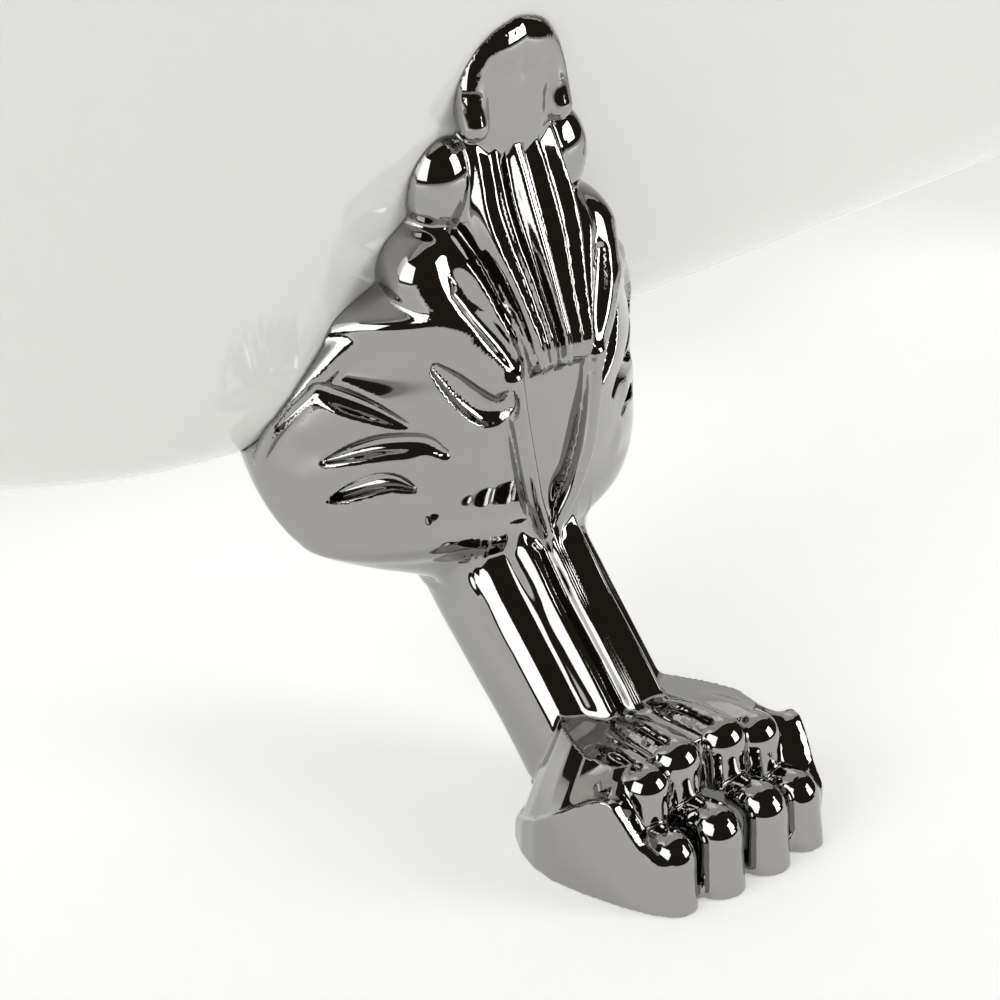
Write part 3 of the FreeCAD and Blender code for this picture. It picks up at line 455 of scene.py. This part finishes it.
# Rows and sections for Front: the shell's ribs, the folds on both sides of them, and the leg.
RIB_ROWS = [(155, -105, 0.7, 0.5), (160, -97.2, 0.72, 0.65), (164, -96.4, 0.75, 0.8),
            (170, -97.6, 0.81, 0.92), (178, -100.9, 0.9, 1), (188, -105, 1.04, 1),
            (200, -110.3, 1.24, 1), (212, -115.8, 1.3, 1), (222, -120.2, 1.22, 0.8),
            (230, -124.4, 1.14, 0.5), (238, -129.5, 1.06, 0.2), (246, -136, 1, 0.1)]
RIB_SECTION = [(0, 0.6), (1.2, 0), (3.3, 4.8), (8.3, 1.4), (9.3, 3.6), (15.0, 1.8), (15.9, 3.6),
               (17.8, 10.2), (18.8, 16), (19.6, 30)]
FOLD_ROWS = [(155, -105, 0.7, 0.5), (160, -98.2, 0.72, 0.65), (164, -97.4, 0.75, 0.8),
             (170, -98, 0.81, 0.9), (178, -100.9, 0.9, 1), (188, -105, 1.04, 1),
             (197, -109.5, 1.2, 1.05), (204, -116, 1.25, 1.1), (211, -125, 1.27, 1.1)]
FOLD_SECTION = [(0, 40), (17, 36), (18, 10.8), (20.3, 10.4), (23.4, 8.1), (24.8, 8.9), (29, 13.5),
                (34, 22), (38, 34)]
TENDON_ROWS = [(38, -54.5, 1, 1), (44.6, -60.4, 1, 1), (52.1, -67, 1, 1), (63.4, -77.6, 1, 1),
               (74.7, -88.3, 1, 1), (86.5, -98, 1, 0.95), (94, -105, 1, 0.8), (102, -114, 1, 0.6)]
TENDON_SECTION = [(0, 0.9), (1.5, 0), (2.5, 1.9), (3.4, 4.9), (11.9, 0.6), (13, 1.7), (14.4, 4.2),
                  (15.7, 7.8), (16.6, 12), (21.8, 15.4), (22.9, 16.2), (23.6, 18.4), (24.4, 24),
                  (26, 42), (27.5, 64)]


def strokes(runs, carve=False):
    """A stroke for each (blend, run)."""
    return [Stroke(run, blend, carve) for blend, run in runs]


def hood():
    """The arch at the top of the crest, and the face under it."""
    arch = [(-125.4, 18.6, 239, 5.4), (-127.4, 18.2, 246, 5.8), (-129, 16.8, 253, 6.6),
            (-130.4, 13.5, 259, 8.2), (-131, 8, 263, 9.8), (-131.2, 0, 264.8, 10.8)]
    face = [(-133, 6, 252, 10.5), (-132.3, 5, 260, 11)]
    return strokes([(3, arch), (4, face)])


def shoulders():
    """The knob, the shoulder below it, and the ridge that runs down from there past the shield."""
    knob = Blob((-136, 25.6, 219), (12.4, 13.4, 17.6), 2)
    shoulder = Blob((-139, 34, 194), (17, 14, 13), 5)
    upper = [(-131, 38, 189, 11), (-123, 34, 178, 10), (-115, 27.5, 167, 7.5), (-109, 20.5, 157, 5)]
    lower = [(-106, 19, 156, 4.5), (-104.5, 17.5, 147, 3.6), (-103.5, 15.8, 136, 3.2),
             (-103.2, 13.5, 124, 3.2), (-104.4, 9.5, 111, 3), (-106, 4.5, 100, 2.8),
             (-106, 2, 93, 2)]
    return [knob, shoulder] + strokes([(8, upper), (2, lower)])


def wings():
    """The bead along each wing's edge, and the lobes between its folds."""
    bead = [(-139, 57.5, 171.5, 5.4), (-142.5, 62.5, 166.5, 5.8), (-146, 69.5, 158.5, 4.8),
            (-150.3, 76, 149.5, 3.8), (-155.5, 81.5, 139, 3), (-160, 83.5, 128, 2.2)]
    lobes = [(4, [(-150, 67, 139, 7), (-142, 60, 141, 7.5), (-131, 50, 140, 6)]),
             (7, [(-150, 67, 122, 8), (-142, 60, 127, 9), (-129, 48, 129, 7)]),
             (7, [(-144, 62, 107, 7), (-137, 55, 111, 8), (-127, 43, 112, 7)])]
    return strokes([(2, bead)] + lobes)


def hollows():
    """What is carved from the shell, the shield and the wings."""
    valley = [(-117, 33, 187, 1.5), (-111.5, 28, 179, 3), (-106.5, 22.5, 170, 3),
              (-103, 18.5, 162, 1.5)]
    crease = [(-101, 7.4, 134, 0.6), (-101.2, 4.4, 121, 1.8), (-102.6, 0, 107, 2)]
    eye = [(-118, 41.5, 162.5, 2), (-113.5, 37.5, 157, 4.2), (-109.5, 32, 150, 5.6),
           (-106.5, 26.5, 145.5, 6), (-104.5, 22.5, 147, 4.6), (-104.5, 20.6, 152, 2.4)]
    folds = [(3, [(-143, 71.5, 155.5, 2.6), (-136, 65, 152, 3.6), (-128.5, 58, 148, 2.8),
                  (-121, 50, 142.5, 0.8)]),
             (1.5, [(-143.5, 72, 155, 2.4), (-149, 78, 147, 2), (-154, 82, 140, 1)]),
             (3, [(-141, 70, 130.5, 1), (-132, 62.5, 135, 2.8), (-125, 55.5, 137, 3.4),
                  (-118.5, 46, 136.5, 2.8), (-116, 39, 132, 1)]),
             (3, [(-152, 76, 108, 1.2), (-143, 70, 115.5, 2.6), (-132, 61, 122, 3.2),
                  (-126, 54.5, 123.5, 2.8), (-122.5, 47.5, 120, 1)]),
             (2.5, [(-132, 57, 105, 1.8), (-127.5, 50, 98.5, 2.4)])]
    return strokes([(3, valley), (1, crease), (1, eye)] + folds, carve=True)


def toes():
    """Two toes on each side, each of a root, an upper joint and a lower joint."""
    return strokes([
        (3, [(-64, 9, 36, 7), (-49, 10, 38.5, 8.5), (-33.5, 11, 38, 9.4)]),
        (1.5, [(-33.5, 11, 38, 9.4), (-32.5, 11, 30, 9), (-31, 11, 18, 9)]),
        (1.5, [(-24, 11, 22, 7.5), (-13.5, 11, 21.5, 8.6), (-12, 11, 12, 9), (-11, 11, -4, 9.8)]),
        (3, [(-64, 23, 32, 7), (-48, 25, 35.5, 8), (-31.5, 26.5, 35, 8.8)]),
        (1.5, [(-31.5, 26.5, 35, 8.8), (-30.5, 27, 28, 8.4), (-29, 28, 18, 8)]),
        (1.5, [(-24, 29, 19.5, 6.8), (-15, 30, 18.8, 7.8), (-13.5, 30.3, 11, 8),
               (-12, 30.8, -4, 8.4)])])


def fixings():
    """The lug, the open back, the pad's seat and pocket, the bolt holes, and the outer limits."""
    lug = Slab((-202, 0, LUG_TOP - LUG_HALF[2]), LUG_HALF, LUG_ROUNDING, 3)
    seat = Drum(PAD_MIDDLE, 0, BELOW_PAW, PAD_SEAT_TOP, PAD_SEAT_RADIUS, PAD_SEAT_INNER)
    pocket = Drum(PAD_MIDDLE, 0, BELOW_PAW, POCKET_TOP, POCKET_RADIUS)
    bolt = Drum(-BOLT_INSET, BOLT_SPACING / 2, *BOLT_SPAN, BOLT_HOLE)
    return [lug, Mass(OPEN_BACK, 1, carve=True), seat, pocket, bolt, Ground(FLOOR_GAP), Bath()]


def foot_forms():
    """All forms of the foot, in the order in which they are worked."""
    masses = [Mass(BELLY, 2), Mass(LEG, 12), Mass(CREST, 4)]
    fronts = [Front(RIB_ROWS, RIB_SECTION, 34, 3), Front(FOLD_ROWS, FOLD_SECTION, 45, 2.5),
              Front(TENDON_ROWS, TENDON_SECTION, 45, 6)]
    paw = [Paw(PAW_FRONT, 3)]
    return (masses + hood() + shoulders() + wings() + fronts + hollows() + paw + toes()
            + fixings())

# ---------------------------------------------------------------- materials


def principled(name, colour, roughness, metallic=0.0, **more):
    """A new material and its shader."""
    made = bpy.data.materials.new(name)
    made.use_nodes = True
    shader = made.node_tree.nodes["Principled BSDF"]
    shader.inputs["Base Color"].default_value = (*colour, 1)
    shader.inputs["Roughness"].default_value = roughness
    shader.inputs["Metallic"].default_value = metallic
    for socket, value in more.items():
        shader.inputs[socket.replace("_", " ")].default_value = value
    return made, shader


def uneven(made, shader, scale, low, high, bump=0.0, stretch=(1, 1, 1)):
    """Roughness, and a little height, from noise in the object's own space."""
    nodes, links = made.node_tree.nodes, made.node_tree.links
    place = nodes.new("ShaderNodeTexCoord")
    mapping = nodes.new("ShaderNodeMapping")
    mapping.inputs["Scale"].default_value = stretch
    noise = nodes.new("ShaderNodeTexNoise")
    noise.inputs["Scale"].default_value = scale
    noise.inputs["Detail"].default_value = 4
    spread = nodes.new("ShaderNodeMapRange")
    spread.inputs["To Min"].default_value = low
    spread.inputs["To Max"].default_value = high
    links.new(place.outputs["Object"], mapping.inputs["Vector"])
    links.new(mapping.outputs["Vector"], noise.inputs["Vector"])
    links.new(noise.outputs["Fac"], spread.inputs["Value"])
    links.new(spread.outputs["Result"], shader.inputs["Roughness"])
    if bump:
        height = nodes.new("ShaderNodeBump")
        height.inputs["Distance"].default_value = bump
        height.inputs["Strength"].default_value = 0.3
        links.new(noise.outputs["Fac"], height.inputs["Height"])
        links.new(height.outputs["Normal"], shader.inputs["Normal"])
    return noise


def tinted(made, shader, noise, dark, light):
    """Colour that goes from dark to light with the noise."""
    ramp = made.node_tree.nodes.new("ShaderNodeValToRGB")
    ramp.color_ramp.elements[0].position = 0.3
    ramp.color_ramp.elements[1].position = 0.7
    ramp.color_ramp.elements[0].color = (*dark, 1)
    ramp.color_ramp.elements[1].color = (*light, 1)
    made.node_tree.links.new(noise.outputs["Fac"], ramp.inputs["Fac"])
    made.node_tree.links.new(ramp.outputs["Color"], shader.inputs["Base Color"])


def make_materials():
    """One material for each slot of the record."""
    made = {}
    white, shader = principled("white_acrylic", (0.80, 0.80, 0.775), 0.06,
                               Coat_Weight=0.4, Coat_Roughness=0.03)
    uneven(white, shader, 9, 0.05, 0.10)
    made["white_basin"] = made["white_shell"] = white
    chrome, shader = principled("chrome", (0.36, 0.356, 0.348), 0.03, 1.0)
    uneven(chrome, shader, 35, 0.025, 0.05)
    made["chrome"] = chrome
    zinc, shader = principled("zinc_steel", (0.46, 0.47, 0.48), 0.3, 1.0)
    spangle = uneven(zinc, shader, 160, 0.25, 0.45, 0.0002)
    tinted(zinc, shader, spangle, (0.38, 0.39, 0.40), (0.55, 0.55, 0.54))
    made["zinc_steel"] = zinc
    ply, shader = principled("birch_ply", (0.56, 0.42, 0.26), 0.6)
    grain = uneven(ply, shader, 14, 0.5, 0.7, 0.0004, (1, 12, 12))
    tinted(ply, shader, grain, (0.43, 0.30, 0.17), (0.63, 0.49, 0.32))
    made["birch_ply"] = ply
    sealant, shader = principled("sealant", (0.74, 0.74, 0.72), 0.4, Subsurface_Weight=0.1)
    uneven(sealant, shader, 60, 0.35, 0.5, 0.0003)
    made["sealant"] = sealant
    rubber, shader = principled("black_rubber", (0.018, 0.018, 0.018), 0.6)
    uneven(rubber, shader, 300, 0.5, 0.7, 0.0002)
    made["black_rubber"] = rubber
    plastic, shader = principled("black_plastic", (0.022, 0.022, 0.024), 0.35)
    uneven(plastic, shader, 500, 0.3, 0.45, 0.0001)
    made["black_plastic"] = plastic
    hose, shader = principled("hose_plastic", (0.32, 0.33, 0.34), 0.4)
    uneven(hose, shader, 120, 0.35, 0.5, 0.0003)
    made["hose_plastic"] = hose
    return made


MATERIALS = make_materials()
SLOT = {part["node"]: part["material_slot"] for part in frame["record"]["subparts"]}
CURVED_SHELLS = ("inner_basin", "outer_shell")


def dress(obj, slot):
    """The slot's material on the object."""
    obj.data.materials.clear()
    obj.data.materials.append(MATERIALS[slot])


for node, obj in NODES.items():
    dress(obj, SLOT[node])
    if node in CURVED_SHELLS:
        obj.data.shade_smooth()


def mesh_object(name, points, faces, normals, slot):
    """A new smooth piece of the scene, which rides on the bath."""
    mesh = bpy.data.meshes.new(name)
    mesh.from_pydata(points.tolist(), [], faces.tolist())
    mesh.shade_smooth()
    mesh.normals_split_custom_set_from_vertices(normals.tolist())
    obj = bpy.data.objects.new(name, mesh)
    bpy.context.scene.collection.objects.link(obj)
    dress(obj, slot)
    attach(obj, "bath")
    return obj


# ---------------------------------------------------------------- feet


def make_feet():
    """The foot is shaped once, then set under the bath's four corners."""
    forms = foot_forms()
    points, faces = skin(*on_grid(forms, GRID_LOW, GRID_HIGH, GRID_STEP))
    points, normals = settled(forms, points)
    yaw = math.radians(FOOT_YAW)
    outward = np.array((-math.sin(yaw), -math.cos(yaw), 0))
    across = np.array((math.cos(yaw), -math.sin(yaw), 0))
    turn = np.array((outward, across, (0, 0, 1)))
    toe = np.array((-(FOOT_SPACING / 2 + FOOT_DEPTH * math.sin(yaw)), -TOE_LINE, 0))
    points, normals = (toe + points @ turn) * MM, normals @ turn
    for end, x_side in (("left", 1), ("right", -1)):
        for row, y_side in (("front", 1), ("back", -1)):
            flip = np.array((x_side, y_side, 1))
            turned = faces if x_side * y_side > 0 else faces[:, ::-1]
            name = f"foot_{row}_{end}"
            made = mesh_object(f"{name}_cast", points * flip, turned, normals * flip, "chrome")
            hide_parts(name)


make_feet()

# ---------------------------------------------------------------- surroundings

FLOOR_SIZE, FLOOR_GLOW = 16, 0.42
ROOM_COLOUR = (0.030, 0.024, 0.018, 1)
FOOT = (-0.36, -0.24, 0.12)
LIGHTS = [  # name, place, target, size, power
    ("left_box", (-2.9, -0.5, 1.35), FOOT, (2.2, 2.1), 42),
    ("right_box", (1.1, -2.5, 1.2), FOOT, (1.3, 1.5), 38),
    ("top_box", (0.3, 0.4, 2.6), (0.1, 0, 0.3), (1.6, 1.2), 12),
]


def make_floor():
    """A plain pale floor."""
    bpy.ops.mesh.primitive_plane_add(size=FLOOR_SIZE)
    floor = bpy.context.object
    floor.name = "floor"
    made, shader = principled("pale_floor", (0.86, 0.86, 0.85), 0.9, Specular_IOR_Level=0.1)
    shader.inputs["Emission Color"].default_value = (1, 1, 0.995, 1)
    shader.inputs["Emission Strength"].default_value = FLOOR_GLOW
    floor.data.materials.append(made)


def soft_light(name, place, target, size, power):
    """A softbox at the place, turned to the target."""
    light = bpy.data.lights.new(name, "AREA")
    light.shape = "RECTANGLE"
    light.size, light.size_y = size
    light.energy = power
    obj = bpy.data.objects.new(name, light)
    bpy.context.scene.collection.objects.link(obj)
    obj.location = place
    obj.rotation_euler = (Vector(target) - Vector(place)).to_track_quat("-Z", "Y").to_euler()


def make_world():
    """A dark room."""
    world = bpy.data.worlds.new("room")
    bpy.context.scene.world = world
    world.use_nodes = True
    background = world.node_tree.nodes["Background"]
    background.inputs["Color"].default_value = ROOM_COLOUR
    background.inputs["Strength"].default_value = 1.0


make_floor()
make_world()
for light in LIGHTS:
    soft_light(*light)

# ---------------------------------------------------------------- camera, as in the photograph

CAMERA_PLACE = (-1.06026, -0.88208, 0.53648)
CAMERA_HEADING, CAMERA_PITCH, CAMERA_ROLL = 43.1, 24.7, 0.3
CAMERA_LENS, CAMERA_SENSOR = 108, 36
CAMERA_NEAR, CAMERA_FAR = 0.05, 60


def make_camera():
    """The camera at the photograph's place and angle."""
    camera = bpy.data.cameras.new("camera")
    camera.lens, camera.sensor_width = CAMERA_LENS, CAMERA_SENSOR
    camera.clip_start, camera.clip_end = CAMERA_NEAR, CAMERA_FAR
    obj = bpy.data.objects.new("camera", camera)
    bpy.context.scene.collection.objects.link(obj)
    heading, pitch = math.radians(CAMERA_HEADING), math.radians(CAMERA_PITCH)
    ahead = Vector((math.cos(heading) * math.cos(pitch), math.sin(heading) * math.cos(pitch),
                    -math.sin(pitch)))
    roll = Matrix.Rotation(math.radians(CAMERA_ROLL), 3, "Z")
    obj.location = CAMERA_PLACE
    obj.rotation_euler = (ahead.to_track_quat("-Z", "Y").to_matrix() @ roll).to_euler()
    bpy.context.scene.camera = obj


make_camera()
bpy.context.scene.view_settings.view_transform = "Standard"
